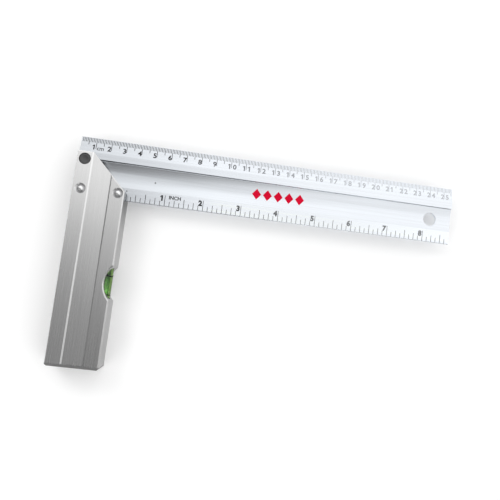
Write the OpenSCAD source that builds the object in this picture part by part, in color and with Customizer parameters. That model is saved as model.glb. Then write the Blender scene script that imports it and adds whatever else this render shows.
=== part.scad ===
// Carpenter's try and mitre square: an extruded ruler blade riveted into a hollow extruded
// handle that carries a spirit level. Millimetres, +X along the blade, +Y towards its top
// edge, +Z out of the front face. The square lies on the back face of its handle, and the
// origin is under the middle of its overall box.

/* [Blade] */
// Length of the blade
blade_len = 256; // [200:1:400]
// Width of the blade from its top edge to its lower edge
blade_w = 39.4; // [36:0.1:44]
// Thickness of the blade at its ridge
blade_t = 3.2; // [2.8:0.1:4]
// Thickness of the blade's two scale edges
edge_t = 1.5; // [1.2:0.1:1.7]
// Chamfer along the front of the two scale edges
edge_break = 0.3; // [0.1:0.05:0.4]
// Width of the sloping face that carries the centimetre scale
bevel_w = 10.2; // [8:0.1:12]
// Width of the flat ridge below that face
ridge_w = 4.2; // [3:0.1:6]
// Height of the step from the ridge down to the hollow face
step_h = 1; // [0.5:0.1:1.2]
// Slant of that step, measured along the face
step_w = 0.5; // [0.1:0.05:0.8]
// Width of the sloping face that carries the inch scale
foot_w = 8.6; // [7:0.1:10]
// Thickness of the blade at the crest between the hollow face and the inch scale
crest_t = 2; // [1.8:0.1:2.6]
// Depth of the hollow face below a straight line from the step to the crest
hollow_d = 0.8; // [0.4:0.1:1]
// Flat left on both sides of the hollow, at the step's foot and at the crest
hollow_land = 0.2; // [0.1:0.05:0.4]

/* [Scales] */
// Length of a millimetre mark
mm_mark = 3; // [2:0.1:4]
// Length of a five millimetre mark
half_cm_mark = 5; // [4:0.1:6]
// Length of a centimetre mark
cm_mark = 7.4; // [6:0.1:8]
// Length of an eighth inch mark
eighth_mark = 3.1; // [2:0.1:4]
// Length of a quarter inch mark
quarter_mark = 4.4; // [3:0.1:5]
// Length of a half inch mark
half_mark = 5.8; // [4:0.1:6]
// Length of an inch mark
inch_mark = 7; // [6:0.1:8]
// Distance of the inch scale's zero from the handle's inner working face, into the handle
inch_back = 0.35; // [0:0.05:1]
// Width of a mark
mark_w = 0.36; // [0.2:0.02:0.5]
// Thickness of the ink
ink_t = 0.04; // [0.02:0.01:0.1]
// Bare length at the far end of both scales
mark_margin = 0.8; // [0.5:0.1:3]

/* [Hanging hole] */
// Bore of the hanging hole
hang_d = 9; // [6:0.5:12]
// Distance of the hanging hole from the blade's far end
hang_in = 14.8; // [10:0.1:30]
// Distance of the hanging hole from the blade's top edge
hang_down = 23.4; // [18:0.1:26]

/* [Handle] */
// Length of the handle with its end cap
handle_len = 136.5; // [120:0.5:200]
// Width of the handle between its outer and inner working faces
handle_w = 32.9; // [31:0.1:36]
// Thickness of the handle
handle_t = 20; // [18:0.5:24]
// Depth of the blade's slot below the top of the handle
slot_depth = 27.5; // [27:0.1:32]
// Distance by which the blade's near end stands out of the handle's outer face
blade_out = 1; // [0:0.1:3]
// Length of the square top of the handle before its mitre begins
mitre_from = 10.1; // [9:0.1:14]
// Width of the outer strip beside the recessed panel
outer_strip = 9.5; // [9:0.1:11]
// Width of the recessed panel between the two strips, at its floor
panel_w = 12.6; // [11:0.1:13.4]
// Depth of the recessed panel
panel_d = 0.8; // [0.4:0.1:1.2]
// Width of the sloping walls of the recessed panel
panel_slope = 0.8; // [0.4:0.1:1.2]
// Chamfer along the long edges of the inner working face
inner_chamfer = 0.8; // [0.4:0.1:1.2]
// Chamfer along the long edges of the outer face
outer_chamfer = 0.4; // [0.2:0.1:0.8]
// Chamfer where the handle's top and mitre are cut
cut_chamfer = 0.8; // [0.3:0.1:1]
// Wall of the handle over its chambers
wall = 1.8; // [1.4:0.1:2.4]
// Wall between two chambers, and between a chamber and the vial's channel
web = 1.6; // [1.2:0.1:1.8]
// Corner radius of the chambers
chamber_r = 1; // [0.5:0.1:1.6]
// Clearance on each side of the blade in its slot
slot_clear = 0.1; // [0.05:0.05:0.3]

/* [Notch] */
// Radius of the notch that shows the vial
notch_r = 15.5; // [14:0.1:20]
// Depth of the notch in the inner working face
notch_d = 4.6; // [3.5:0.1:5.4]
// Distance of the notch's middle below the top of the handle
notch_down = 82; // [60:0.5:100]
// Chamfer round the edge of the notch
notch_chamfer = 0.7; // [0.3:0.1:1]

/* [Rivets and pin] */
// Distance of the outer rivet and the corner pin from the outer face
fixing_in = 5.2; // [4.8:0.1:5.6]
// Distance of the inner rivet from the inner working face
rivet_in = 4.1; // [4:0.1:5]
// Distance of the two rivets above the blade's lower edge
rivet_up = 2.8; // [2.4:0.1:3.2]
// Diameter of a rivet's shank
rivet_d = 3; // [2.5:0.1:3.4]
// Diameter of a rivet's domed head
rivet_head_d = 4.9; // [4.2:0.1:5.2]
// Height of a rivet's domed head
rivet_head_h = 0.9; // [0.6:0.1:1]
// Diameter of the dish that takes a rivet's head
dish_d = 6.8; // [6:0.1:7.2]
// Depth of that dish
dish_h = 1; // [1:0.1:1.3]
// Distance of the corner pin below the top of the handle
pin_down = 5.2; // [5:0.1:6]
// Diameter of the corner pin
pin_d = 7.4; // [6:0.1:8]
// Distance of the pin's ends below the handle's faces
pin_sink = 0.2; // [0:0.05:0.5]
// Diameter of the dished middle of the pin's ends
pin_dish_d = 4.6; // [3:0.1:5]
// Depth of that dished middle
pin_dish_h = 0.5; // [0.3:0.1:0.8]
// Chamfer round the ends of the corner pin
pin_chamfer = 0.4; // [0.2:0.1:0.6]
// Clearance round a shank in its hole
hole_clear = 0.05; // [0.03:0.01:0.2]

/* [Vial] */
// Outer diameter of the vial tube
vial_d = 9.5; // [8.5:0.1:10]
// Bore of the vial tube
vial_bore = 6.6; // [5.5:0.1:7]
// Length of the vial tube
vial_len = 40; // [32:0.5:50]
// Thickness of the vial tube's closed end
vial_end = 2; // [1.5:0.1:4]
// Metal between the vial's channel and the inner working face
vial_in = 0.8; // [0.6:0.1:1.2]
// Distance of the vial's middle below the middle of the notch
vial_shift = 1.6; // [0:0.1:3]
// Distance between the vial's two black lines
line_gap = 12; // [9:0.1:14]
// Width of a black line
line_w = 0.7; // [0.4:0.1:1]
// Depth of the groove that holds a black line
line_h = 0.25; // [0.15:0.05:0.4]
// Length of the bubble
bubble_len = 8.5; // [6:0.1:10]
// Height of the bubble at its middle
bubble_h = 1.6; // [1:0.1:2.2]
// Depth of the plug that closes the vial tube
plug_h = 4; // [3:0.1:6]
// Thickness of that plug's flange
plug_flange = 1; // [0.5:0.1:2]
// Clearance round the vial tube and round the end cap's spigots
seat_clear = 0.1; // [0.05:0.05:0.2]
// Clearance between the vial's own pieces
vial_clear = 0.02; // [0.01:0.01:0.05]

/* [End cap] */
// Thickness of the end cap's plate
cap_t = 1.8; // [1.2:0.1:3]
// Chamfer round the end cap's outer edges
cap_chamfer = 1.2; // [0.6:0.1:1.6]
// Length of the spigots that hold the end cap in the handle
spigot_len = 9; // [5:0.5:15]
// Wall of the spigots
spigot_wall = 1.3; // [1:0.1:1.8]

/* [Hidden] */
$fn = 96;
// How far a cutting shape passes the surface that it cuts
over = 1;

// Overall box, and the square's faces in it
blade_rise = blade_w + slot_clear - slot_depth;
total_h = blade_rise + handle_len;
left_x = -blade_len / 2;
top_y = total_h / 2;
mid_z = handle_t / 2;
outer_x = left_x + blade_out;
inner_x = outer_x + handle_w;
handle_top = top_y - blade_rise;
handle_low = handle_top - handle_len;
body_low = handle_low + cap_t;
blade_back = mid_z - blade_t / 2;
blade_low = top_y - blade_w;

// Slopes of the two scale faces, and the spacing and zero of the inch scale's marks
cm_slope = atan2(blade_t - edge_t, bevel_w - edge_break);
inch_slope = atan2(crest_t - edge_t, foot_w - edge_break);
inch = 25.4;
eighth = inch / 8;
inch_zero = blade_out + handle_w - inch_back;

// Places across the handle, from its outer face
panel_a = outer_strip;
panel_b = panel_a + panel_w + 2 * panel_slope;
floor_z = panel_d + wall;
vial_x = handle_w - vial_in - vial_d / 2 - seat_clear;
channel_r = vial_d / 2 + seat_clear;
chamber_a0 = wall;
chamber_a1 = panel_a - web / 2;
chamber_b0 = panel_a + web / 2;
chamber_b1 = vial_x - channel_r - web;

// Places of the two rivets across the handle
rivet_outer_x = outer_x + fixing_in;
rivet_inner_x = inner_x - rivet_in;

// The vial's places along the handle
vial_y = handle_top - notch_down - vial_shift;
vial_axis_x = outer_x + vial_x;
vial_low = vial_y - vial_len / 2;

function chord_radius(width, depth) = (width * width / 4 + depth * depth) / (2 * depth);

// A rectangle with rounded corners, from one corner to the other
module round_rect(a, b, r) {
    w = b[0] - a[0];
    h = b[1] - a[1];
    translate(a) {
        translate([r, 0]) square([w - 2 * r, h]);
        translate([0, r]) square([w, h - 2 * r]);
        for (x = [r, w - r], y = [r, h - r]) translate([x, y]) circle(r, $fn = 32);
    }
}

// A rectangle whose four corners are cut at 45 degrees, with its own cut for each side
module cut_rect(w, h, left_cut, right_cut) {
    polygon([[left_cut, 0], [w - right_cut, 0], [w, right_cut], [w, h - right_cut],
             [w - right_cut, h], [left_cut, h], [0, h - left_cut], [0, left_cut]]);
}

// The shallow trapezium that a recessed panel takes out of a face at height 0
module panel_cut() {
    polygon([[panel_a - panel_slope * over / panel_d, -over], [panel_a + panel_slope, panel_d],
             [panel_b - panel_slope, panel_d], [panel_b + panel_slope * over / panel_d, -over]]);
}

// Cross section of the handle: x from the outer face, y as height above the back face
module handle_section() {
    difference() {
        cut_rect(handle_w, handle_t, outer_chamfer, inner_chamfer);
        panel_cut();
        translate([0, handle_t]) mirror([0, 1]) panel_cut();
        round_rect([chamber_a0, floor_z], [chamber_a1, handle_t - floor_z], chamber_r);
        round_rect([chamber_b0, floor_z], [chamber_b1, handle_t - floor_z], chamber_r);
        translate([vial_x, mid_z]) circle(channel_r);
    }
}

// Carries a cross section down the handle, from a height on Y over a length
module along_handle(y_low, len) {
    translate([outer_x, y_low + len, 0]) rotate([90, 0, 0]) linear_extrude(len) children();
}

// A cutter for a chamfer along a straight edge of the front face, from p to q, repeated on the back
module edge_cut(p, q, size) {
    d = q - p;
    side = size * sqrt(2);
    for (z = [0, handle_t])
        translate([p[0], p[1], z]) rotate([0, 0, atan2(d[1], d[0])]) rotate([45, 0, 0])
            translate([-over, -side / 2, -side / 2]) cube([norm(d) + 2 * over, side, side]);
}

// Everything beyond the mitre of the handle's top
module mitre_cut() {
    reach = handle_w + over;
    translate([outer_x + mitre_from, handle_top, -over]) linear_extrude(handle_t + 2 * over)
        polygon([[-over, over], [reach, over], [reach, -reach]]);
}

// The curved notch through both walls beside the vial, chamfered round both faces
module notch_cut() {
    centre_x = inner_x - notch_d + notch_r;
    translate([centre_x, handle_top - notch_down, 0]) {
        translate([0, 0, -over]) cylinder(r = notch_r, h = handle_t + 2 * over, $fn = 180);
        for (side = [0, 1])
            translate([0, 0, side * handle_t]) mirror([0, 0, side])
                translate([0, 0, -over]) cylinder(h = notch_chamfer + over,
                    r1 = notch_r + notch_chamfer + over, r2 = notch_r, $fn = 180);
    }
}

// Puts its children at one of the two rivets
module at_rivet(x) {
    translate([x, blade_low + rivet_up, 0]) children();
}

// Puts its children at both rivets
module at_rivets() {
    for (x = [rivet_outer_x, rivet_inner_x]) at_rivet(x) children();
}

// Puts its children at the corner pin
module at_pin() {
    translate([outer_x + fixing_in, handle_top - pin_down, 0]) children();
}

// Hole for one rivet, with the dishes that its two heads sit in
module rivet_hole() {
    translate([0, 0, -over]) cylinder(d = rivet_d + 2 * hole_clear, h = handle_t + 2 * over, $fn = 48);
    floor_d = rivet_head_d + 2 * hole_clear;
    slope = (dish_d - floor_d) / 2 / dish_h;
    for (side = [0, 1])
        translate([0, 0, side * handle_t]) mirror([0, 0, side]) translate([0, 0, -over])
            cylinder(h = dish_h + over, d1 = dish_d + 2 * slope * over, d2 = floor_d, $fn = 64);
}

// Hollow extruded handle
module handle() {
    color([0.72, 0.73, 0.74]) difference() {
        along_handle(body_low, handle_top - body_low) handle_section();
        mitre_cut();
        // Slot for the blade, open at the top and on both sides
        translate([outer_x - over, handle_top - slot_depth, blade_back - slot_clear])
            cube([handle_w + 2 * over, slot_depth + over, blade_t + 2 * slot_clear]);
        notch_cut();
        at_rivets() rivet_hole();
        at_pin() translate([0, 0, -over])
            cylinder(d = pin_d + 2 * hole_clear, h = handle_t + 2 * over, $fn = 64);
        edge_cut([outer_x, handle_top], [outer_x + mitre_from, handle_top], cut_chamfer);
        edge_cut([outer_x + mitre_from, handle_top], [inner_x, handle_top + mitre_from - handle_w],
                 cut_chamfer);
    }
}

// Cross section of the blade: x as distance below the top edge, y as height above its back
module blade_section() {
    step_a = bevel_w + ridge_w;
    step_b = step_a + step_w;
    crest = blade_w - foot_w;
    valley_z = blade_t - step_h;
    tilt = atan2(crest_t - valley_z, crest - step_b);
    span = (crest - step_b - 2 * hollow_land) / cos(tilt);
    r = chord_radius(span, hollow_d);
    difference() {
        polygon([[0, 0], [blade_w, 0], [blade_w, edge_t - edge_break],
                 [blade_w - edge_break, edge_t], [crest, crest_t], [step_b, valley_z],
                 [step_a, blade_t], [bevel_w, blade_t], [edge_break, edge_t],
                 [0, edge_t - edge_break]]);
        intersection() {
            translate([(step_b + crest) / 2, (valley_z + crest_t) / 2]) rotate(tilt)
                translate([0, r - hollow_d]) circle(r, $fn = 360);
            translate([step_b + hollow_land / 2, 0])
                square([crest - step_b - hollow_land, blade_t + over]);
        }
    }
}

// Extruded ruler blade
module blade() {
    color([0.86, 0.87, 0.88]) difference() {
        translate([left_x, top_y, blade_back]) rotate([90, 0, 90])
            linear_extrude(blade_len) mirror([1, 0]) blade_section();
        translate([left_x + blade_len - hang_in, top_y - hang_down, blade_back - over])
            cylinder(d = hang_d, h = blade_t + 2 * over, $fn = 72);
        at_rivets() cylinder(d = rivet_d + 2 * hole_clear, h = handle_t, $fn = 48);
        at_pin() cylinder(d = pin_d + 2 * hole_clear, h = handle_t, $fn = 64);
    }
}

// One printed mark: x along the blade, y along its face
module mark(x, y, len) {
    translate([x - mark_w / 2, y, 0]) cube([mark_w, len, ink_t]);
}

// Marks of the centimetre scale, one each millimetre from the blade's near end
module cm_marks() {
    color([0.15, 0.15, 0.16])
        translate([left_x, top_y - edge_break, blade_back + edge_t]) rotate([-cm_slope, 0, 0])
            for (i = [1:floor(blade_len - mark_margin)]) {
                len = i % 10 == 0 ? cm_mark : i % 5 == 0 ? half_cm_mark : mm_mark;
                mark(i, -len, len);
            }
}

// Marks of the inch scale, one each eighth from its zero
module inch_marks() {
    color([0.15, 0.15, 0.16])
        translate([left_x + inch_zero, blade_low + edge_break, blade_back + edge_t])
            rotate([inch_slope, 0, 0])
                for (i = [1:floor((blade_len - inch_zero - mark_margin) / eighth)])
                    mark(i * eighth, 0, i % 8 == 0 ? inch_mark : i % 4 == 0 ? half_mark
                         : i % 2 == 0 ? quarter_mark : eighth_mark);
}

// Plate of the end cap, with its lower edges and corners cut at 45 degrees
module cap_plate() {
    intersection() {
        translate([outer_x, handle_low, 0]) linear_extrude(handle_t)
            polygon([[cap_chamfer, 0], [handle_w - cap_chamfer, 0], [handle_w, cap_chamfer],
                     [handle_w, cap_t], [0, cap_t], [0, cap_chamfer]]);
        translate([outer_x, handle_low, 0]) rotate([90, 0, 90]) linear_extrude(handle_w)
            polygon([[0, cap_chamfer], [cap_chamfer, 0], [cap_t, 0], [cap_t, handle_t],
                     [cap_chamfer, handle_t], [0, handle_t - cap_chamfer]]);
        along_handle(handle_low - over, cap_t + 2 * over)
            cut_rect(handle_w, handle_t, outer_chamfer, inner_chamfer);
    }
}

// A hollow spigot that fills a chamber with its clearance
module spigot(a, b) {
    inset = [seat_clear, seat_clear];
    along_handle(body_low, spigot_len) difference() {
        round_rect(a + inset, b - inset, chamber_r - seat_clear);
        round_rect(a + inset + [spigot_wall, spigot_wall], b - inset - [spigot_wall, spigot_wall],
                   chamber_r / 2);
    }
}

// Cap that closes the handle's lower end
module end_cap() {
    color([0.45, 0.45, 0.46]) union() {
        cap_plate();
        spigot([chamber_a0, floor_z], [chamber_a1, handle_t - floor_z]);
        spigot([chamber_b0, floor_z], [chamber_b1, handle_t - floor_z]);
        along_handle(body_low, spigot_len) translate([vial_x, mid_z]) difference() {
            circle(channel_r - seat_clear);
            circle(channel_r - seat_clear - spigot_wall);
        }
    }
}

// Pin through the handle and the blade, with dished ends
module corner_pin() {
    len = handle_t - 2 * pin_sink;
    dish_r = chord_radius(pin_dish_d, pin_dish_h);
    color([0.24, 0.24, 0.25]) at_pin() difference() {
        translate([0, 0, pin_sink]) rotate_extrude()
            cut_profile(pin_d / 2, len, pin_chamfer);
        for (side = [0, 1])
            translate([0, 0, side * handle_t]) mirror([0, 0, side])
                translate([0, 0, pin_sink + pin_dish_h - dish_r]) sphere(dish_r, $fn = 96);
    }
}

// Half profile of a round bar whose two ends are chamfered
module cut_profile(r, len, cut) {
    polygon([[0, 0], [r - cut, 0], [r, cut], [r, len - cut], [r - cut, len], [0, len]]);
}

// One rivet with a domed head in each dish
module rivet() {
    r = chord_radius(rivet_head_d, rivet_head_h);
    translate([0, 0, dish_h]) cylinder(d = rivet_d, h = handle_t - 2 * dish_h, $fn = 48);
    for (side = [0, 1])
        translate([0, 0, side * handle_t]) mirror([0, 0, side]) intersection() {
            translate([0, 0, dish_h - rivet_head_h + r]) sphere(r, $fn = 96);
            translate([0, 0, dish_h - rivet_head_h])
                cylinder(d = rivet_head_d, h = rivet_head_h, $fn = 64);
        }
}

module rivet_outer() {
    color([0.80, 0.81, 0.82]) at_rivet(rivet_outer_x) rivet();
}

module rivet_inner() {
    color([0.80, 0.81, 0.82]) at_rivet(rivet_inner_x) rivet();
}

// Turns a round shape made along +Z so that it lies along the vial, from the tube's lower end up
module along_vial() {
    translate([vial_axis_x, vial_low, mid_z]) rotate([-90, 0, 0]) children();
}

// Puts its children at each black line, measured from the tube's lower end
module at_lines() {
    for (y = [-line_gap / 2, line_gap / 2]) translate([0, 0, vial_len / 2 + y - line_w / 2]) children();
}

// Clear tube, closed at its upper end and open below for its plug
module vial_tube() {
    color([0.55, 0.78, 0.50, 0.6]) along_vial() difference() {
        cylinder(d = vial_d, h = vial_len);
        translate([0, 0, -over]) cylinder(d = vial_bore, h = vial_len - vial_end + over);
        at_lines() difference() {
            cylinder(d = vial_d + over, h = line_w);
            translate([0, 0, -over]) cylinder(d = vial_d - 2 * line_h, h = line_w + 2 * over);
        }
    }
}

// Liquid that fills the tube between plug and closed end, round an empty bubble at its top
module vial_liquid() {
    r = chord_radius(bubble_len, bubble_h);
    bore_r = vial_bore / 2 - vial_clear;
    color([0.25, 0.80, 0.20, 0.7]) difference() {
        along_vial() translate([0, 0, plug_h + vial_clear])
            cylinder(r = bore_r, h = vial_len - vial_end - plug_h - 2 * vial_clear);
        translate([vial_axis_x, vial_y, mid_z + bore_r - bubble_h + r]) sphere(r, $fn = 96);
    }
}

// Plug glued into the tube's open end, with a flange as wide as the tube
module vial_plug() {
    color([0.60, 0.80, 0.55]) along_vial() {
        translate([0, 0, -plug_flange]) cylinder(d = vial_d, h = plug_flange);
        cylinder(d = vial_bore - 2 * vial_clear, h = plug_h);
    }
}

// Black lines in the tube's grooves
module vial_lines() {
    color([0.05, 0.05, 0.05]) along_vial() at_lines() difference() {
        cylinder(d = vial_d, h = line_w);
        translate([0, 0, -over]) cylinder(d = vial_d - 2 * line_h, h = line_w + 2 * over);
    }
}

handle();
blade();
cm_marks();
inch_marks();
end_cap();
corner_pin();
rivet_outer();
rivet_inner();
vial_tube();
vial_liquid();
vial_plug();
vial_lines();
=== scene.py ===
"""Looks of a carpenter's try and mitre square: finishes, printed figures, studio and camera.

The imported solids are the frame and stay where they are. Lengths are metres, +X runs along the
blade, +Y towards its top edge and +Z out of the front face.
"""

import logging
import math
from dataclasses import dataclass, field
from enum import Enum
from typing import ClassVar

import bmesh
import bpy
import numpy as np
from mathutils import Matrix, Vector


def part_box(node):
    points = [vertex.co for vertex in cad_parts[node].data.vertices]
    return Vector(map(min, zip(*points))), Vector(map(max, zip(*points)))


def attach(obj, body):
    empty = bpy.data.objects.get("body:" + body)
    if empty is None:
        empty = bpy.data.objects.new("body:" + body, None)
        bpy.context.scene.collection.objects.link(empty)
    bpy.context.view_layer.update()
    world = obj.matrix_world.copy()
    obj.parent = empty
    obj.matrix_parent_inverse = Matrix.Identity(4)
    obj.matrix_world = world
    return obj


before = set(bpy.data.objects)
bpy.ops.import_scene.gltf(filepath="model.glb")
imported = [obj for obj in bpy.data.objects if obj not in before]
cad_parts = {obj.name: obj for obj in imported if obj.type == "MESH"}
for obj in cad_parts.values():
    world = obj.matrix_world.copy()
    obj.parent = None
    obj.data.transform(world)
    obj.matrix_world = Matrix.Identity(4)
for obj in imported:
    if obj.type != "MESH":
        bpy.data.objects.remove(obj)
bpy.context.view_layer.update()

LOG = logging.getLogger("square")
MM = 0.001
CM = 10 * MM
INCH = 25.4 * MM
ROOT = "root"

Colour = tuple[float, float, float]
Point = tuple[float, float, float]
Span = tuple[float, float]
Socket = bpy.types.NodeSocket

# Parts of a noise's range over which a tone and a roughness change
TONE_RANGE: Span = (0.35, 0.65)
ROUGH_RANGE: Span = (0.3, 0.7)


def grey(tone: float) -> Colour:
    """Returns a colour without a tint."""
    return (tone, tone, tone)


class Axis(Enum):
    """One of the three axes, by its number in a vector."""

    X = 0
    Y = 1
    Z = 2


class Nodes:
    """Node tree with short calls that add its nodes and wire them."""

    def __init__(self, tree: bpy.types.NodeTree) -> None:
        """Empties a tree and works in it."""
        self.nodes = tree.nodes
        self.links = tree.links
        self.nodes.clear()

    def add(self, kind: str, inputs: dict[str | int, object], **settings: object) -> bpy.types.Node:
        """Adds a node, with its settings and inputs.

        Args:
            kind: Blender's name of the node's type.
            inputs: Value or socket for each input, by name or number.
            settings: Properties of the node.

        Returns:
            The new node.
        """
        node = self.nodes.new(kind)
        for key, value in settings.items():
            setattr(node, key, value)
        for key, value in inputs.items():
            if isinstance(value, Socket):
                self.links.new(value, node.inputs[key])
            else:
                node.inputs[key].default_value = value
        return node

    def spread(self, value: Socket, low: float, high: float,
               into: tuple[float | Socket, float] = (0, 1)) -> Socket:
        """Returns a value's part from low to high, carried over to the range into, clamped."""
        inputs = {"Value": value, "From Min": low, "From Max": high, "To Min": into[0], "To Max": into[1]}
        return self.add("ShaderNodeMapRange", inputs, clamp=True).outputs[0]

    def calc(self, operation: str, *values: Socket | float) -> Socket:
        """Returns the result of a math operation on one or two values."""
        return self.add("ShaderNodeMath", dict(enumerate(values)), operation=operation).outputs[0]

    def weighted(self, *parts: tuple[Socket, float]) -> Socket:
        """Adds values up, each times its weight.

        Args:
            parts: Value and weight of each.

        Returns:
            The sum.
        """
        total, *others = [self.calc("MULTIPLY", value, weight) for value, weight in parts]
        for other in others:
            total = self.calc("ADD", total, other)
        return total

    def vector(self, operation: str, *values: Socket | Point) -> Socket:
        """Returns the result of a vector operation: a number for a length or dot product, else a vector."""
        node = self.add("ShaderNodeVectorMath", dict(enumerate(values)), operation=operation)
        return node.outputs["Value" if operation in ("LENGTH", "DOT_PRODUCT") else "Vector"]

    def scaled(self, colour: Socket, share: Socket) -> Socket:
        """Returns a colour times a share."""
        return self.add("ShaderNodeVectorMath", {0: colour, "Scale": share}, operation="SCALE").outputs[0]

    def blend(self, share: Socket, first: Colour | Socket, second: Colour | Socket) -> Socket:
        """Blends two colours.

        Args:
            share: Share of the second colour, from 0 to 1.
            first: Colour at share 0.
            second: Colour at share 1.

        Returns:
            The blended colour.
        """
        ends = [c if isinstance(c, Socket) else (*c, 1.0) for c in (first, second)]
        inputs = {0: share, 6: ends[0], 7: ends[1]}
        return self.add("ShaderNodeMix", inputs, data_type="RGBA").outputs[2]


class Graph(Nodes):
    """Node tree of one material, round one shader."""

    NOISE_ROUGHNESS: ClassVar[float] = 0.55
    BEVEL_SAMPLES: ClassVar[int] = 6

    def __init__(self, name: str, **constants: object) -> None:
        """Starts a material with one shader.

        Args:
            name: Name of the material.
            constants: Values for the shader's sockets, with _ for the spaces in their names.
        """
        self.material = bpy.data.materials.new(name)
        self.material.use_nodes = True
        super().__init__(self.material.node_tree)
        sockets = {key.replace("_", " "): value for key, value in constants.items()}
        self.shader = self.add("ShaderNodeBsdfPrincipled", sockets)
        self.add("ShaderNodeOutputMaterial", {"Surface": self.shader.outputs["BSDF"]})
        self.place = self.add("ShaderNodeTexCoord", {}).outputs["Object"]

    def coordinate(self, axis: Axis) -> Socket:
        """Returns the Object coordinate along an axis."""
        return self.add("ShaderNodeSeparateXYZ", {0: self.place}).outputs[axis.value]

    def stretch(self, drawn: Axis, along: float, across: float) -> Socket:
        """Stretches the Object coordinates.

        Args:
            drawn: Axis along which the pattern is drawn out.
            along: Length that becomes 1 along that axis.
            across: Length that becomes 1 across it.

        Returns:
            The stretched coordinates.
        """
        scale = [1 / across] * 3
        scale[drawn.value] = 1 / along
        return self.add("ShaderNodeMapping", {"Vector": self.place, "Scale": scale}).outputs[0]

    def noise(self, vector: Socket, detail: float = 2.0) -> Socket:
        """Returns soft noise from 0 to 1 at a vector."""
        inputs = {"Vector": vector, "Scale": 1.0, "Detail": detail, "Roughness": self.NOISE_ROUGHNESS}
        return self.add("ShaderNodeTexNoise", inputs).outputs[0]

    def grain(self, size: float, detail: float = 2.0) -> Socket:
        """Returns soft noise of one size in all directions."""
        return self.noise(self.stretch(Axis.X, size, size), detail)

    def facing(self, direction: Point, turn: Span = (0.97, 0.99)) -> Socket:
        """Tells which surfaces face along or against a direction.

        Args:
            direction: The direction.
            turn: Cosines between which the value rises from 0 to 1.

        Returns:
            1 where the surface faces so, and 0 elsewhere.
        """
        normal = self.add("ShaderNodeNewGeometry", {}).outputs["True Normal"]
        dot = self.vector("DOT_PRODUCT", normal, tuple(Vector(direction).normalized()))
        return self.spread(self.calc("ABSOLUTE", dot), *turn)

    def spot(self, centre: Point, radius: float, edge: float, length: float = 1.0) -> Socket:
        """Marks a small ball with a soft edge.

        Args:
            centre: Middle of the ball.
            radius: Its radius, at the middle of the soft edge.
            edge: Half the soft edge's width.
            length: How many times as long the ball is along Y as it is wide.

        Returns:
            1 inside the ball and 0 outside it.
        """
        away = self.vector("SUBTRACT", self.place, centre)
        away = self.vector("LENGTH", self.vector("MULTIPLY", away, (1, 1 / length, 1)))
        return self.spread(away, radius - edge, radius + edge, into=(1, 0))

    def bump(self, height: Socket, depth: float, soften: float = 0.0) -> Socket:
        """Gives the surface a relief.

        Args:
            height: Relief from 0 to 1.
            depth: Its real height.
            soften: Radius to which the piece's edges look rounded, or 0 for sharp edges.

        Returns:
            The normal.
        """
        inputs = {"Height": height, "Distance": depth, "Strength": 1.0}
        if soften:
            bevel = self.add("ShaderNodeBevel", {"Radius": soften}, samples=self.BEVEL_SAMPLES)
            inputs["Normal"] = bevel.outputs[0]
        return self.add("ShaderNodeBump", inputs).outputs[0]

    def finish(self, colour: Socket, roughness: Socket, normal: Socket) -> bpy.types.Material:
        """Wires the shader.

        Args:
            colour: Base colour.
            roughness: Roughness.
            normal: Normal with its relief.

        Returns:
            The material.
        """
        for name, socket in (("Base Color", colour), ("Roughness", roughness), ("Normal", normal)):
            self.links.new(socket, self.shader.inputs[name])
        return self.material


@dataclass(frozen=True)
class Ramp:
    """Share of a tone along one axis: the first up to start, the last from end on."""

    axis: Axis
    start: float
    end: float
    first: float
    last: float

    def dim(self, g: Graph, colour: Socket) -> Socket:
        """Returns the colour times the share at each point."""
        share = g.spread(g.coordinate(self.axis), self.start, self.end, into=(self.first, self.last))
        return g.scaled(colour, share)


@dataclass(frozen=True)
class Patch:
    """Soft patch of another tone. Its share is the product of the rises, each 0 at start and 1 at end.

    A rise is an axis, its start and its end.
    """

    rises: tuple[tuple[Axis, float, float], ...]
    tone: float

    def dim(self, g: Graph, colour: Socket) -> Socket:
        """Gives the patch its tone.

        Args:
            g: Graph of the finish.
            colour: Colour without the patch.

        Returns:
            The colour with the patch.
        """
        share: Socket | float = 1.0
        for axis, start, end in self.rises:
            share = g.calc("MULTIPLY", share, g.spread(g.coordinate(axis), start, end))
        return g.scaled(colour, g.spread(share, 0, 1, into=(1.0, self.tone)))


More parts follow.
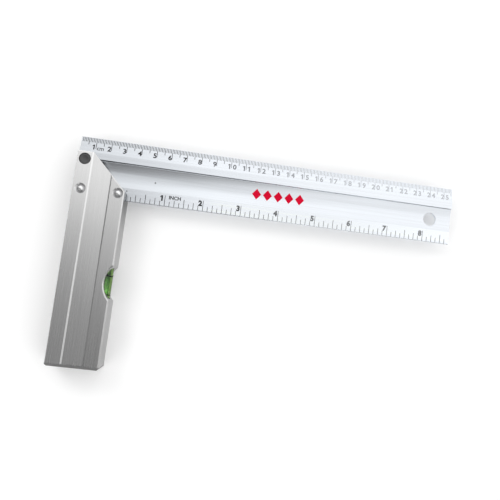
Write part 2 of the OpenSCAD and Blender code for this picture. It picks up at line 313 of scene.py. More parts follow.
@dataclass(frozen=True)
class Extrusion:
    """Anodised aluminium, drawn through a die: streaks along it, sawn ends and ground upright faces.

    Streaks, drift and saw marks are given by their lengths along and across them. Specks are given
    by their middle and radius. The ground faces lie beyond one distance on both sides of a middle
    across X, which ground gives; their much darker tone is painted shade. Ramps change the tone of the
    drawn faces, and ground_ramps that of the ground ones, as painted shade and painted light.
    """

    name: str
    drawn: Axis
    dark: Colour
    light: Colour
    sawn: Colour
    cuts: tuple[Point, ...]
    roughness: float
    specks: tuple[tuple[Point, float], ...] = ()
    speck_colour: Colour = grey(0.05)
    ground: Span | None = None
    # Painted shade: the ground faces' tones, much darker than the drawn faces.
    ground_dark: Colour = grey(0.34)
    ground_light: Colour = grey(0.42)
    ramps: tuple[Ramp | Patch, ...] = ()
    ground_ramps: tuple[Ramp, ...] = ()
    coarse_streak: Span = (180 * MM, 1.3 * MM)
    coarse_weight: float = 0.5
    fine_streak: Span = (40 * MM, 0.25 * MM)
    fine_weight: float = 0.3
    drift: Span = (60 * MM, 24 * MM)
    drift_weight: float = 0.2
    tone_range: Span = (0.36, 0.64)
    rough_range: Span = (0.25, 0.75)
    rough_swing: float = 0.04
    saw_mark: Span = (12 * MM, 0.22 * MM)
    saw_height: float = 3.0
    grit: float = 0.3 * MM
    grit_height: float = 0.3
    upright_turn: Span = (0.1, 0.3)
    relief: float = 0.001 * MM
    soften: float = 0.12 * MM

    def on_ground_face(self, g: Graph) -> Socket:
        """Tells the ground faces from the others.

        Args:
            g: Graph of the finish.

        Returns:
            1 on the upright faces that the wheel reached, and 0 elsewhere.
        """
        middle, half = self.ground
        away = g.calc("ABSOLUTE", g.calc("SUBTRACT", g.coordinate(Axis.X), middle))
        upright = g.calc("SUBTRACT", 1.0, g.facing((0, 0, 1), self.upright_turn))
        return g.calc("MULTIPLY", upright, g.calc("GREATER_THAN", away, half))

    def material(self) -> bpy.types.Material:
        """Makes the finish: coarse and fine streaks for tone, fine streaks and grit for relief.

        Returns:
            The material.
        """
        g = Graph(self.name, Metallic=1.0)
        coarse = g.noise(g.stretch(self.drawn, *self.coarse_streak))
        fine = g.noise(g.stretch(self.drawn, *self.fine_streak), detail=3)
        drift = g.noise(g.stretch(self.drawn, *self.drift), detail=1)
        tone = g.weighted((coarse, self.coarse_weight), (fine, self.fine_weight), (drift, self.drift_weight))
        colour = g.blend(g.spread(tone, *self.tone_range), self.dark, self.light)
        for ramp in self.ramps:
            colour = ramp.dim(g, colour)
        ends = (self.roughness - self.rough_swing, self.roughness + self.rough_swing)
        rough = g.spread(fine, *self.rough_range, into=ends)
        relief = g.calc("ADD", fine, g.calc("MULTIPLY", g.grain(self.grit), self.grit_height))
        saw = g.noise(g.stretch(Axis.Z, *self.saw_mark), detail=3)
        for cut in self.cuts:
            here = g.facing(cut)
            colour = g.blend(here, colour, g.blend(saw, self.sawn, self.light))
            relief = g.calc("ADD", relief, g.calc("MULTIPLY", here, g.calc("MULTIPLY", saw, self.saw_height)))
        if self.ground:
            # Painted shade: the ground faces take a much darker tone, dimmed further by their ramps.
            ground = g.blend(fine, self.ground_dark, self.ground_light)
            for ramp in self.ground_ramps:
                ground = ramp.dim(g, ground)
            colour = g.blend(self.on_ground_face(g), colour, ground)
        for centre, radius in self.specks:
            colour = g.blend(g.spot(centre, radius, radius / 3), colour, self.speck_colour)
        return g.finish(colour, rough, g.bump(relief, self.relief, soften=self.soften))


@dataclass(frozen=True)
class Moulded:
    """Plastic with the fine grain of its mould and a slow drift of tone."""

    name: str
    dark: Colour
    light: Colour
    roughness: float
    rough_swing: float = 0.05
    grain: float = 0.25 * MM
    grain_weight: float = 0.4
    drift: float = 6 * MM
    drift_weight: float = 0.6
    depth: float = 0.01 * MM
    soften: float = 0.15 * MM

    def material(self) -> bpy.types.Material:
        """Makes the finish: grain for relief, drift for tone.

        Returns:
            The material.
        """
        g = Graph(self.name, IOR=1.5)
        grain = g.grain(self.grain, detail=3)
        tone = g.weighted((grain, self.grain_weight), (g.grain(self.drift), self.drift_weight))
        colour = g.blend(g.spread(tone, *TONE_RANGE), self.dark, self.light)
        ends = (self.roughness - self.rough_swing, self.roughness + self.rough_swing)
        rough = g.spread(grain, *ROUGH_RANGE, into=ends)
        return g.finish(colour, rough, g.bump(grain, self.depth, soften=self.soften))


@dataclass(frozen=True)
class TurnedMetal:
    """Metal turned or pressed round its own axis: rings round it, and a painted highlight in its middle if it
    has one.

    The painted highlight is the radius up to which the middle is painted bright, and its colour. Its edge
    is soft over crown_edge times that radius on both sides.
    """

    name: str
    centre: Point
    dark: Colour
    light: Colour
    roughness: float
    rough_swing: float = 0.05
    metallic: float = 1.0
    ring: float = 0.35 * MM
    ring_weight: float = 0.5
    grit: float = 0.4 * MM
    grit_weight: float = 0.5
    crown: tuple[float, Colour] | None = None
    crown_edge: float = 0.2
    depth: float = 0.012 * MM
    soften: float = 0.1 * MM

    def material(self) -> bpy.types.Material:
        """Makes the finish: rings, as noise over the distance from the axis, with fine grit.

        Returns:
            The material.
        """
        g = Graph(self.name, Metallic=self.metallic)
        flat = g.vector("MULTIPLY", g.vector("SUBTRACT", g.place, self.centre), (1, 1, 0))
        away = g.vector("LENGTH", flat)
        inputs = {"W": away, "Scale": 1 / self.ring, "Detail": 2.0}
        rings = g.add("ShaderNodeTexNoise", inputs, noise_dimensions="1D").outputs[0]
        grit = g.grain(self.grit, detail=3)
        tone = g.weighted((rings, self.ring_weight), (grit, self.grit_weight))
        colour = g.blend(g.spread(tone, *TONE_RANGE), self.dark, self.light)
        # Painted highlight: a bright disc in the middle of the head.
        if self.crown:
            reach, highlight_tone = self.crown
            skirt = g.spread(away, reach * (1 - self.crown_edge), reach * (1 + self.crown_edge))
            colour = g.blend(skirt, highlight_tone, colour)
        ends = (self.roughness - self.rough_swing, self.roughness + self.rough_swing)
        rough = g.spread(grit, *ROUGH_RANGE, into=ends)
        return g.finish(colour, rough, g.bump(tone, self.depth, soften=self.soften))


@dataclass(frozen=True)
class Clear:
    """Clear plastic or liquid of one tint, with faint flow marks along the vial.

    The glow is the middle and radius of a painted light: the part whose colour is brightened to lit.
    """

    name: str
    dark: Colour
    light: Colour
    ior: float
    transmission: float
    roughness: float
    glow: tuple[Point, float]
    lit: Colour
    glow_edge: float = 0.3
    glow_length: float = 2.0
    flow: Span = (20 * MM, 2 * MM)
    rough_growth: float = 1.5
    depth: float = 0.002 * MM

    def material(self) -> bpy.types.Material:
        """Makes the finish: tint from slow flow marks, painted light round the glow, with a smooth relief.

        Returns:
            The material.
        """
        g = Graph(self.name, IOR=self.ior, Transmission_Weight=self.transmission)
        flow = g.noise(g.stretch(Axis.Y, *self.flow))
        colour = g.blend(g.spread(flow, *TONE_RANGE), self.dark, self.light)
        # Painted light: a lighter patch round the glow's middle.
        centre, reach = self.glow
        glow = g.spot(centre, reach, reach * self.glow_edge, length=self.glow_length)
        colour = g.blend(glow, colour, self.lit)
        rough = g.spread(flow, *ROUGH_RANGE, into=(self.roughness, self.roughness * self.rough_growth))
        return g.finish(colour, rough, g.bump(flow, self.depth))


@dataclass(frozen=True)
class Ink:
    """Printed ink that lies unevenly on the metal, and lets it shine through where it is worn thin.

    worn gives the places along X between which the print fades from none to full into metal,
    which is painted glare, and shine the metal's tone at full fade.
    """

    name: str
    full: Colour
    thin: Colour
    shine: Colour = grey(0.5)
    worn: Span | None = None
    worn_polish: float = 0.25
    patch: float = 0.5 * MM
    patch_weight: float = 0.55
    drift: float = 14 * MM
    drift_weight: float = 0.45
    thin_range: Span = (0.42, 0.62)
    rough: Span = (0.4, 0.6)
    depth: float = 0.004 * MM

    def material(self) -> bpy.types.Material:
        """Makes the finish: full and thin patches of ink, with a slightly rough skin.

        Returns:
            The material.
        """
        g = Graph(self.name, IOR=1.45, Specular_IOR_Level=0.08)
        patches = g.grain(self.patch, detail=4)
        drift = g.grain(self.drift, detail=1)
        thin = g.weighted((patches, self.patch_weight), (drift, self.drift_weight))
        colour = g.blend(g.spread(thin, *self.thin_range), self.full, self.thin)
        rough = g.spread(patches, *ROUGH_RANGE, into=self.rough)
        # Painted glare: along X the print turns into smoother metal of shine, so it fades out.
        if self.worn:
            share = g.spread(g.coordinate(Axis.X), *self.worn)
            colour = g.blend(share, colour, self.shine)
            rough = g.calc("SUBTRACT", rough, g.calc("MULTIPLY", share, self.worn_polish))
            g.links.new(share, g.shader.inputs["Metallic"])
        return g.finish(colour, rough, g.bump(patches, self.depth))


@dataclass(frozen=True)
class Paper:
    """Smooth white studio paper with a faint mottle, which glows a little of its own."""

    name: str
    glow: float
    dark: Colour = grey(0.90)
    light: Colour = grey(0.93)
    mottle: float = 40 * MM
    fibre: float = 0.8 * MM
    rough: Span = (0.8, 0.95)
    depth: float = 0.01 * MM

    def material(self) -> bpy.types.Material:
        """Makes the finish: slow mottle and fine fibre.

        Returns:
            The material.
        """
        g = Graph(self.name, Emission_Color=(1, 1, 1, 1), Emission_Strength=self.glow)
        fibre = g.grain(self.fibre)
        colour = g.blend(g.grain(self.mottle), self.dark, self.light)
        return g.finish(colour, g.spread(fibre, 0, 1, into=self.rough), g.bump(fibre, self.depth))


def new_mesh(name: str, points: np.ndarray, faces: np.ndarray) -> bpy.types.Object:
    """Makes a mesh object from whole arrays.

    Args:
        name: Name of the object.
        points: Corner positions, one row each.
        faces: Corner numbers, one row for each four-sided face.

    Returns:
        The object, linked to the scene.
    """
    mesh = bpy.data.meshes.new(name)
    mesh.from_pydata(points.tolist(), [], faces.tolist())
    mesh.update()
    made = bpy.data.objects.new(name, mesh)
    bpy.context.scene.collection.objects.link(made)
    return made


def slab_points(x: np.ndarray, y: np.ndarray, top: np.ndarray | float,
                under: np.ndarray | float) -> np.ndarray:
    """Places the corners of a closed slab, its top grid first and its under grid after it.

    Args:
        x: Grid of places along X.
        y: Grid of places along Y.
        top: Height of the top side, one for all or one for each grid point.
        under: Height of the under side, likewise.

    Returns:
        The corner positions, one row each.
    """
    sheets = [np.stack([x, y, np.broadcast_to(z, x.shape)], axis=-1) for z in (top, under)]
    return np.stack(sheets).reshape(-1, 3)


def slab_faces(rows: int, columns: int) -> np.ndarray:
    """Numbers the faces of a closed slab whose top grid is numbered first and its under grid after it.

    The top's cells run anticlockwise seen from above, the under side's clockwise, and each stretch
    of the rim joins a top edge to the under edge below it.

    Args:
        rows: Grid lines across the slab.
        columns: Grid lines along the slab.

    Returns:
        The corner numbers, one row for each face.
    """
    number = np.arange(rows * columns).reshape(rows, columns)
    corners = [number[:-1, :-1], number[:-1, 1:], number[1:, 1:], number[1:, :-1]]
    top = np.stack(corners, axis=-1).reshape(-1, 4)
    under = top[:, ::-1] + rows * columns
    rim = np.concatenate([number[0, :-1], number[:-1, -1], number[-1, :0:-1], number[:0:-1, 0]])
    ahead = np.roll(rim, -1)
    walls = np.stack([rim, rim + rows * columns, ahead + rows * columns, ahead], axis=-1)
    return np.concatenate([top, under, walls])


def weld(mesh: bpy.types.Mesh, reach: float = 1e-7) -> None:
    """Merges a mesh's doubled corners and turns its faces outwards.

    Args:
        mesh: The mesh.
        reach: Distance within which corners are one.
    """
    work = bmesh.new()
    work.from_mesh(mesh)
    bmesh.ops.remove_doubles(work, verts=work.verts, dist=reach)
    bmesh.ops.recalc_face_normals(work, faces=work.faces)
    work.to_mesh(mesh)
    work.free()
    mesh.update()


def put_on(nodes: list[str], material: bpy.types.Material) -> None:
    """Gives CAD nodes one material in place of what they came with.

    Args:
        nodes: Names of the nodes.
        material: The material.
    """
    for name in nodes:
        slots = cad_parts[name].data.materials
        slots.clear()
        slots.append(material)
        LOG.info("dressed %s in %s", name, material.name)


@dataclass(frozen=True)
class ScaleFace:
    """One of the blade's two flat sloping faces, as a place to print on."""

    corner: Vector
    slope: float

    def matrix(self) -> Matrix:
        """Returns the turn and place that carry flat print, x along and y up, onto the face."""
        return Matrix.Translation(self.corner) @ Matrix.Rotation(self.slope, 4, "X")


@dataclass(frozen=True)
class Lettering:
    """Height of printed text, its foot's place up the face, and how far its outline is thickened."""

    height: float
    baseline: float
    weight: float


@dataclass
class Figures:
    """Printed figures or a word that share one baseline of a scale face.

    The font's figures are CAP_SHARE of its size high. The flag of a figure 1 reaches out by its share
    of the height and falls by flag_fall for each unit of that reach.
    """

    name: str
    face: ScaleFace
    lettering: Lettering
    thickness: float = 0.03 * MM
    curve_steps: int = 3
    flag_reach: float = 1 / 5
    flag_fall: float = 0.9
    placed: list[bpy.types.Object] = field(default_factory=list)

    CAP_SHARE: ClassVar[float] = 0.729

    def glyphs(self, text: str) -> bpy.types.Object:
        """Makes flat text in the scale's own plane as a mesh.

        Args:
            text: The figure or word.

        Returns:
            A mesh object whose middle is at x = 0, with the text's foot at y = 0.
        """
        curve = bpy.data.curves.new(self.name, "FONT")
        curve.body = text
        curve.size = self.lettering.height / self.CAP_SHARE
        curve.offset = self.lettering.weight
        curve.extrude = self.thickness / 2
        curve.resolution_u = self.curve_steps
        made = bpy.data.objects.new(self.name, curve)
        bpy.context.scene.collection.objects.link(made)
        bpy.context.view_layer.update()
        mesh = bpy.data.meshes.new_from_object(made.evaluated_get(bpy.context.evaluated_depsgraph_get()))
        bpy.data.objects.remove(made)
        solid = bpy.data.objects.new(self.name, mesh)
        bpy.context.scene.collection.objects.link(solid)
        ends = [v.co.x for v in mesh.vertices]
        mesh.transform(Matrix.Translation((-(min(ends) + max(ends)) / 2, 0, self.thickness / 2)))
        return solid

    def flag(self, stem: bpy.types.Object) -> bpy.types.Object:
        """Makes the flag of a figure 1: a strip of the stem's width from its top, down to the left.

        The stem's middle is at x = 0, so its width is twice the distance of its side. With x counted
        from the stem's left side, the strip's upper edge is y = top + fall * x for x from -reach to
        0, and its lower edge lies a width below.

        Args:
            stem: The figure without its flag.

        Returns:
            The flag.
        """
        side = min(v.co.x for v in stem.data.vertices)
        top = max(v.co.y for v in stem.data.vertices)
        width = 2.0 * abs(side)
        x, y = np.meshgrid([-self.lettering.height * self.flag_reach, 0.0], [-width, 0.0])
        y = y + top + x * self.flag_fall
        return new_mesh(self.name, slab_points(x + side, y, self.thickness, 0.0), slab_faces(2, 2))

    def put(self, text: str, middle: float) -> None:
        """Prints text on the face.

        Args:
            text: The figure or word.
            middle: Distance of the text's middle along the face.
        """
        solids = [self.glyphs(text)]
        if text == "1":
            solids.append(self.flag(solids[0]))
        place = Matrix.Translation((middle, self.lettering.baseline, 0))
        for solid in solids:
            solid.data.transform(self.face.matrix() @ place)
        self.placed += solids

    def joined(self, ink: bpy.types.Material) -> bpy.types.Object:
        """Joins what was printed into one closed piece, inks it and lets it ride.

        Args:
            ink: Material of the print.

        Returns:
            The piece.
        """
        first, *others = self.placed
        with bpy.context.temp_override(active_object=first, selected_editable_objects=self.placed):
            if others:
                bpy.ops.object.join()
        first.name = self.name
        weld(first.data)
        first.data.materials.clear()
        first.data.materials.append(ink)
        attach(first, ROOT)
        return first


@dataclass
class Blade:
    """The ruler blade: its finish, the ink of its marks, its figures, words and red row."""

    # Section, the same as the part's
    edge: float = 1.5 * MM
    edge_break: float = 0.3 * MM
    thickness: float = 3.2 * MM
    crest: float = 2.0 * MM
    bevel: float = 10.2 * MM
    ridge: float = 4.2 * MM
    step_width: float = 0.5 * MM
    step_height: float = 1.0 * MM
    foot: float = 8.6 * MM
    hollow: float = 0.8 * MM
    land: float = 0.2 * MM

    # Tones of the metal, with painted shade and painted light
    streaks: tuple[Colour, Colour] = ((0.785, 0.815, 0.86), (0.85, 0.89, 0.935))
    sawn: Colour = (0.84, 0.84, 0.83)
    roughness: float = 0.23
    # Painted shade: the metal darkens to left_tone at the blade's left end, back to full at left_shade_end.
    left_shade_end: float = -35 * MM
    left_tone: float = 0.77
    # Painted light: the inch face's metal is made lighter by this share.
    inch_tone: float = 1.13
    crest_turn: float = 0.1 * MM
    # Painted shade: the hollow face just under the step, near the handle, is darker by this patch.
    step_shade: Patch = Patch(
        ((Axis.X, 15 * MM, -55 * MM), (Axis.Y, 49.5 * MM, 53.5 * MM), (Axis.Y, 57.5 * MM, 55.0 * MM)), 0.77)
    specks: tuple[tuple[Point, float], ...] = (
        ((-76.7 * MM, 49.7 * MM, 9.72 * MM), 0.45 * MM),
        ((-94.3 * MM, 41.6 * MM, 10.33 * MM), 0.4 * MM))

    # Inks
    ink_slot: str = "scale_ink"
    # Both scale inks fade into bare metal towards the right end: painted glare.
    cm_ink: Ink = Ink("cm_ink", (0.01, 0.01, 0.011), (0.03, 0.03, 0.032),
                      shine=(0.49, 0.51, 0.54), worn=(-65 * MM, 50 * MM))
    inch_ink: Ink = Ink("inch_ink", (0.01, 0.01, 0.011), (0.03, 0.03, 0.032),
                        shine=(0.24, 0.25, 0.26), worn=(-60 * MM, 45 * MM))
    red_ink: Ink = Ink("red_ink", (0.60, 0.0, 0.022), (0.66, 0.004, 0.035))

    # Centimetre print, each figure by its shift from its mark
    last_centimetre: int = 25
    cm_lettering: Lettering = Lettering(3.5 * MM, -7.95 * MM, 0.13 * MM)
    one_figure: float = -1.3 * MM
    two_figures: Span = (-1.15 * MM, 2.25 * MM)
    cm_unit_lettering: Lettering = Lettering(2.9 * MM, -8.2 * MM, 0.05 * MM)
    cm_unit_shift: float = 2.9 * MM

    # Inch print
    last_inch: int = 8
    inch_zero: float = 33.55 * MM
    inch_lettering: Lettering = Lettering(3.5 * MM, 3.4 * MM, 0.27 * MM)
    inch_figure: float = -1.9 * MM
    inch_unit_lettering: Lettering = Lettering(2.4 * MM, 4.9 * MM, 0.1 * MM)
    inch_unit_shift: float = 6.5 * MM

    # Red row, from the blade's left end and below its top edge
    red_from: float = 115.5 * MM
    red_down: float = 22.6 * MM
    red_count: int = 5
    red_pitch: float = 7.4 * MM
    red_width: float = 6.2 * MM
    red_height: float = 7.4 * MM
    red_skin: float = 0.03 * MM
    red_grid: int = 9

    def __post_init__(self) -> None:
        """Reads the blade's place from the frame."""
        self.low, self.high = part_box("blade")

    def finish(self) -> Extrusion:
        """Works out the bright finish of the blade, with the two dark specks that it has.

        The left end and the hollow face under the step near the handle are darker, which is painted
        shade, and the inch face lighter, which is painted light.

        Returns:
            The finish.
        """
        crest_y = self.low.y + self.foot
        # Painted shade, darker towards the blade's left end
        left_painted_shade = Ramp(Axis.X, self.low.x, self.left_shade_end, self.left_tone, 1.0)
        # Painted light on the inch face, below the crest
        inch_painted_light = Ramp(Axis.Y, crest_y - self.crest_turn, crest_y + self.crest_turn, self.inch_tone, 1.0)
        dark, light = self.streaks
        return Extrusion("blade_aluminium", Axis.X, dark, light, self.sawn, cuts=((1, 0, 0),),
                         roughness=self.roughness, specks=self.specks,
                         ramps=(left_painted_shade, inch_painted_light, self.step_shade))

    def centimetre_face(self) -> ScaleFace:
        """Works out the face under the top edge.

        Returns:
            The face, whose y runs up to the edge.
        """
        slope = math.atan2(self.thickness - self.edge, self.bevel - self.edge_break)
        corner = Vector((self.low.x, self.high.y - self.edge_break, self.low.z + self.edge))
        return ScaleFace(corner, -slope)

    def inch_face(self) -> ScaleFace:
        """Works out the face over the lower edge.

        Returns:
            The face, whose y runs up from the edge.
        """
        slope = math.atan2(self.crest - self.edge, self.foot - self.edge_break)
        corner = Vector((self.low.x, self.low.y + self.edge_break, self.low.z + self.edge))
        return ScaleFace(corner, slope)

    def hollow_height(self, down: np.ndarray) -> np.ndarray:
        """Works out the hollow face's height above the blade's back.

        A circle through the step's foot and the crest, sunk by the hollow's depth in the middle:
        the straight line between the two ends, less the sag of a circle of that chord.

        Args:
            down: Distances below the blade's top edge.

        Returns:
            The heights.
        """
        start = self.bevel + self.ridge + self.step_width
        end = self.high.y - self.low.y - self.foot
        valley = self.thickness - self.step_height
        half = (end - start) / 2 - self.land
        radius = (half**2 + self.hollow**2) / (2 * self.hollow)
        off = down - (start + end) / 2
        line = valley + (self.crest - valley) * (down - start) / (end - start)
        return line - (np.sqrt(radius**2 - off**2) - (radius - self.hollow))

    def print_centimetres(self, ink: bpy.types.Material) -> list[bpy.types.Object]:
        """Prints the centimetre figures and their unit.

        Args:
            ink: Material of the print.

        Returns:
            Both pieces.
        """
        face = self.centimetre_face()
        figures = Figures("cm_figures", face, self.cm_lettering)
        for number in range(1, self.last_centimetre + 1):
            text = str(number)
            shifts = self.two_figures if len(text) > 1 else (self.one_figure,)
            for digit, shift in zip(text, shifts):
                figures.put(digit, number * CM + shift)
        unit = Figures("cm_unit", face, self.cm_unit_lettering)
        unit.put("cm", CM + self.cm_unit_shift)
        return [figures.joined(ink), unit.joined(ink)]

    def print_inches(self, ink: bpy.types.Material) -> list[bpy.types.Object]:
        """Prints the inch figures and their unit.

        Args:
            ink: Material of the print.

        Returns:
            Both pieces.
        """
        face = self.inch_face()
        figures = Figures("inch_figures", face, self.inch_lettering)
        for number in range(1, self.last_inch + 1):
            figures.put(str(number), self.inch_zero + number * INCH + self.inch_figure)
        unit = Figures("inch_unit", face, self.inch_unit_lettering)
        unit.put("INCH", self.inch_zero + INCH + self.inch_unit_shift)
        return [figures.joined(ink), unit.joined(ink)]

    def print_red_row(self, ink: bpy.types.Material) -> bpy.types.Object:
        """Prints a row of plain red lozenges on the hollow face.

        A lozenge is a square grid of u and v from -1 to 1: x is half the width times (u + v) / 2,
        y half the height times (v - u) / 2, and z follows the hollow face.

        Args:
            ink: Material of the print.

        Returns:
            The row.
        """
        line = np.linspace(-1, 1, self.red_grid)
        u, v = np.meshgrid(line, line)
        points, faces = [], []
        for number in range(self.red_count):
            middle = self.low.x + self.red_from + (number + 0.5) * self.red_pitch
            x = middle + self.red_width / 2 * (u + v) / 2
            down = self.red_down - self.red_height / 2 * (v - u) / 2
            z = self.low.z + self.hollow_height(down)
            faces.append(slab_faces(self.red_grid, self.red_grid) + 2 * u.size * number)
            points.append(slab_points(x, self.high.y - down, z + self.red_skin, z))
        made = new_mesh("red_row", np.concatenate(points), np.concatenate(faces))
        weld(made.data)
        made.data.materials.append(ink)
        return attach(made, ROOT)

    def dress(self) -> None:
        """Finishes the blade and its marks, and prints what stands on it."""
        put_on(["blade"], self.finish().material())
        cm_ink = self.cm_ink.material()
        inch_ink = self.inch_ink.material()
        red_ink = self.red_ink.material()
        put_on(["cm_marks"], cm_ink)
        put_on(["inch_marks"], inch_ink)
        printed = [*self.print_centimetres(cm_ink), *self.print_inches(inch_ink), self.print_red_row(red_ink)]
        for piece in printed:
            LOG.info("printed %s, %d faces", piece.name, len(piece.data.polygons))


@dataclass
class Handle:
    """The handle with its end cap, corner pin and two rivets.

    A painted shade or light is given by the places between which it changes, and by its full tone.
    """

    streaks: tuple[Colour, Colour] = (grey(0.69), grey(0.72))
    sawn: Colour = grey(0.68)
    roughness: float = 0.25
    ground_depth: float = 5.4 * MM
    inner_strip: float = 9.3 * MM
    strip_edge: float = 0.3 * MM
    # Painted shade: the strip beside the inner working face is darker by this share.
    strip_tone: float = 0.86
    # Painted light: the handle's top end is lighter, up to top_tone.
    top_light: Span = (12 * MM, 52 * MM)
    top_tone: float = 1.15
    # Painted shade: the ground faces darken much towards the corner with the blade.
    corner_shade: Span = (14 * MM, 32 * MM)
    corner_tone: float = 0.4
    # Painted shade: the ground faces darken a little towards the lower end.
    foot_shade: Span = (-72 * MM, -50 * MM)
    foot_tone: float = 0.78
    cap: Moulded = Moulded("cap_plastic", grey(0.12), grey(0.155), roughness=0.45)
    pin_rings: tuple[Colour, Colour] = ((0.065, 0.065, 0.066), (0.11, 0.11, 0.111))
    rivet_rings: tuple[Colour, Colour] = ((0.38, 0.38, 0.39), (0.58, 0.58, 0.59))
    # Painted highlight on the rivet heads: radius and colour of their bright middle.
    rivet_crown: tuple[float, Colour] = (1.4 * MM, grey(0.97))

    def finish(self) -> Extrusion:
        """Works out the satin finish of the handle, sawn at its top, mitre and lower end.

        The strip beside the inner working face is a little darker than the rest and the top end a
        little lighter: painted shade and painted light. The ground faces darken a little towards the
        lower end, and much towards the corner with the blade: painted shade.

        Returns:
            The finish.
        """
        low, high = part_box("handle")
        border = high.x - self.inner_strip
        # Painted shade on the inner strip
        strip = Ramp(Axis.X, border - self.strip_edge, border, 1.0, self.strip_tone)
        # Painted light, lighter towards the top end
        top = Ramp(Axis.Y, *self.top_light, 1.0, self.top_tone)
        # Painted shade at the corner with the blade
        corner = Ramp(Axis.Y, *self.corner_shade, 1.0, self.corner_tone)
        # Painted shade towards the lower end
        foot = Ramp(Axis.Y, *self.foot_shade, self.foot_tone, 1.0)
        dark, light = self.streaks
        return Extrusion("handle_aluminium", Axis.Y, dark, light, self.sawn, cuts=((0, 1, 0), (1, 1, 0)),
                         roughness=self.roughness,
                         ground=((low.x + high.x) / 2, (high.x - low.x) / 2 - self.ground_depth),
                         ramps=(strip, top), ground_ramps=(corner, foot))

    def axis(self, node: str) -> Point:
        """Returns the middle of a round node, through which its axis runs along Z."""
        low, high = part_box(node)
        return tuple((low + high) / 2)

    def dress(self) -> None:
        """Finishes the handle and what is fastened to it."""
        put_on(["handle"], self.finish().material())
        put_on(["end_cap"], self.cap.material())
        pin = TurnedMetal("pin_black", self.axis("corner_pin"), *self.pin_rings, roughness=0.45, metallic=0.6)
        put_on(["corner_pin"], pin.material())
        for node in ("rivet_outer", "rivet_inner"):
            rivet = TurnedMetal(node, self.axis(node), *self.rivet_rings, roughness=0.22,
                                crown=self.rivet_crown)
            put_on([node], rivet.material())


@dataclass
class SpiritLevel:
    """The vial: its tube, plug, liquid and two black lines.

    A painted light in the vial glows round a place that is shifted from the tube's middle.
    """

    # Painted light in the vial: its place, sizes and colours.
    glow_shift: Vector = field(default_factory=lambda: Vector((-0.4 * MM, -3.2 * MM, 4.6 * MM)))
    tube_glow: float = 4.0 * MM
    tube_tints: tuple[Colour, Colour] = ((0.12, 0.27, 0.03), (0.16, 0.33, 0.04))
    tube_lit: Colour = (0.90, 1.0, 0.78)
    liquid_glow: float = 6.0 * MM
    liquid_tints: tuple[Colour, Colour] = ((0.12, 0.44, 0.03), (0.15, 0.50, 0.04))
    liquid_lit: Colour = (0.34, 1.0, 0.16)
    line_ink: Ink = Ink("line_black", grey(0.012), grey(0.03))

    def dress(self) -> None:
        """Finishes the vial's four nodes."""
        low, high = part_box("vial_tube")
        middle = tuple(((low + high) / 2) + self.glow_shift)
        acrylic = Clear("vial_acrylic", *self.tube_tints, ior=1.49, transmission=1.0, roughness=0.03,
                        glow=(middle, self.tube_glow), lit=self.tube_lit)
        liquid = Clear("vial_fluid", *self.liquid_tints, ior=1.38, transmission=0.1, roughness=0.05,
                       glow=(middle, self.liquid_glow), lit=self.liquid_lit)
        put_on(["vial_tube", "vial_plug"], acrylic.material())
        put_on(["vial_liquid"], liquid.material())
        put_on(["vial_lines"], self.line_ink.material())


@dataclass(frozen=True)
class SoftBox:
    """A large rectangular light, aimed at the object's middle.

    A mirrored box shows in metal and gives no diffuse light. Any other gives light and no mirror
    image.
    """

    name: str
    place: Point
    size: Span
    radiance: float
    mirrored: bool = False

    def build(self) -> bpy.types.Object:
        """Makes the light. Its power is its radiance times its area times pi.

        Returns:
            The light.
        """
        data = bpy.data.lights.new(self.name, "AREA")
        data.shape = "RECTANGLE"
        data.size, data.size_y = self.size
        data.energy = self.radiance * self.size[0] * self.size[1] * math.pi
        light = bpy.data.objects.new(self.name, data)
        bpy.context.scene.collection.objects.link(light)
        light.location = self.place
        light.rotation_mode = "QUATERNION"
        light.rotation_quaternion = (-Vector(self.place)).to_track_quat("-Z", "Y")
        light.visible_glossy = self.mirrored
        light.visible_diffuse = not self.mirrored
        return light


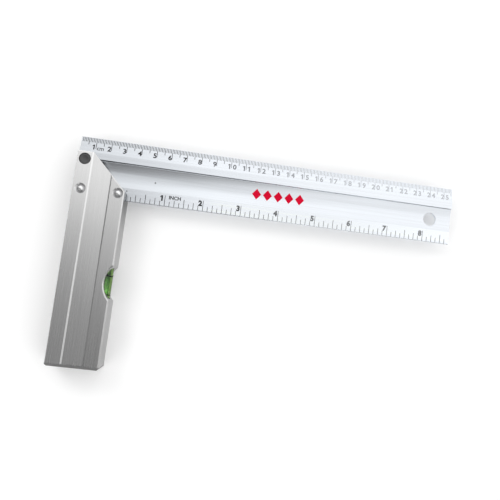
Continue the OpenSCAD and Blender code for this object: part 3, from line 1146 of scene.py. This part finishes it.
@dataclass
class Studio:
    """Floor, soft boxes and surrounding light: a bright half sky beyond the blade, a dim one before it.

    sky_stops give the sky's brightness for cosines of the angle from toward. Close to the horizon it
    is multiplied by a share, which runs through low_share while the Y part of a direction runs
    through low_side, and which ends while its Z part runs through horizon.
    """

    floor_half: float = 3.0
    floor_depth: float = 0.01
    floor_glow: float = 0.10
    toward: Point = (0.546, 0.831, -0.11)
    backdrop: float = 0.95
    horizon: Span = (0.05, 0.40)
    low_side: Span = (-0.18, 0.14)
    low_share: Span = (0.08, 1.22)
    sky_stops: tuple[Span, ...] = (
        (-1.0, 0.45), (-0.6, 0.42), (-0.4, 0.20), (-0.2, 0.30), (-0.1, 1.02), (-0.05, 1.18), (0.0, 1.0),
        (0.05, 0.84), (0.1, 0.88), (0.16, 1.12), (0.22, 1.18), (0.3, 1.10), (0.6, 1.12), (1.0, 1.0))
    boxes: tuple[SoftBox, ...] = (
        SoftBox("key_box", (-0.70, 0.60, 0.70), (0.45, 0.45), 3.5),
        SoftBox("near_box", (-1.10, -1.10, 1.00), (1.6, 1.6), 1.2),
        SoftBox("right_box", (1.30, -0.90, 1.10), (1.6, 1.6), 1.2),
        SoftBox("far_box", (0.10, 1.50, 0.30), (1.2, 0.6), 1.3),
        SoftBox("step_box", (0.50, -1.40, 0.60), (0.7, 0.6), 1.1, mirrored=True))

    def floor(self) -> bpy.types.Object:
        """Makes the pale floor on which the object lies, as a closed slab under height 0.

        Returns:
            The floor.
        """
        line = np.linspace(-self.floor_half, self.floor_half, 3)
        x, y = np.meshgrid(line, line)
        made = new_mesh("floor", slab_points(x, y, 0.0, -self.floor_depth), slab_faces(3, 3))
        made.data.materials.append(Paper("studio_paper", self.floor_glow).material())
        return made

    def grade(self, elements: bpy.types.ColorRampElements) -> None:
        """Gives a colour ramp the sky's stops.

        Args:
            elements: Elements of the ramp, whose positions 0 to 1 stand for cosines from -1 to 1.
        """
        for cosine, _ in self.sky_stops[1:-1]:
            elements.new((cosine + 1) / 2)
        for element, (_, value) in zip(elements, self.sky_stops):
            element.color = (value, value, value, 1.0)

    def sky(self) -> None:
        """Surrounds the scene with light, seen by the camera as a pale backdrop.

        It is graded by the angle from one direction. Near the horizon it is dimmed on the side
        towards the handle's lower end, and a little brighter beyond the blade.
        """
        world = bpy.data.worlds.new("studio")
        bpy.context.scene.world = world
        world.use_nodes = True
        g = Nodes(world.node_tree)
        ray = g.add("ShaderNodeTexCoord", {}).outputs["Generated"]
        cosine = g.vector("DOT_PRODUCT", ray, tuple(Vector(self.toward).normalized()))
        ramp = g.add("ShaderNodeValToRGB", {0: g.spread(cosine, -1, 1)})
        self.grade(ramp.color_ramp.elements)
        split = g.add("ShaderNodeSeparateXYZ", {0: ray}).outputs
        low_share = g.spread(split["Y"], *self.low_side, into=self.low_share)
        graded = g.scaled(ramp.outputs[0], g.spread(split["Z"], *self.horizon, into=(low_share, 1.0)))
        seen = g.add("ShaderNodeLightPath", {}).outputs["Is Camera Ray"]
        light = g.add("ShaderNodeBackground", {"Color": g.blend(seen, graded, grey(self.backdrop))})
        g.add("ShaderNodeOutputWorld", {"Surface": light.outputs[0]})

    def build(self) -> None:
        """Makes the floor, the surrounding light and the soft boxes, shown with plain sRGB tones."""
        bpy.context.scene.view_settings.view_transform = "Standard"
        self.floor()
        self.sky()
        for box in self.boxes:
            box.build()
            LOG.info("lit %s", box.name)


@dataclass(frozen=True)
class PhotoCamera:
    """The camera, where it stands over the front face as the photograph was taken."""

    place: Point = (-38.7 * MM, -25.2 * MM, 351.3 * MM)
    turn_degrees: Point = (5.79, -5.73, 6.79)
    lens: float = 37.2
    sensor: float = 36.0
    clip: Span = (0.01, 20.0)

    def build(self) -> None:
        """Makes the camera and gives it to the scene."""
        data = bpy.data.cameras.new("camera")
        data.lens = self.lens
        data.sensor_width = self.sensor
        data.clip_start, data.clip_end = self.clip
        camera = bpy.data.objects.new("camera", data)
        bpy.context.scene.collection.objects.link(camera)
        camera.location = self.place
        camera.rotation_euler = [math.radians(angle) for angle in self.turn_degrees]
        bpy.context.scene.camera = camera


def main() -> None:
    """Builds the camera and studio, then dresses each sub-assembly in turn."""
    logging.basicConfig(level=logging.INFO, format="%(name)s: %(message)s")
    PhotoCamera().build()
    Studio().build()
    for assembly in (Blade(), Handle(), SpiritLevel()):
        assembly.dress()
        LOG.info("finished the %s", type(assembly).__name__)


if __name__ == "__main__":
    main()
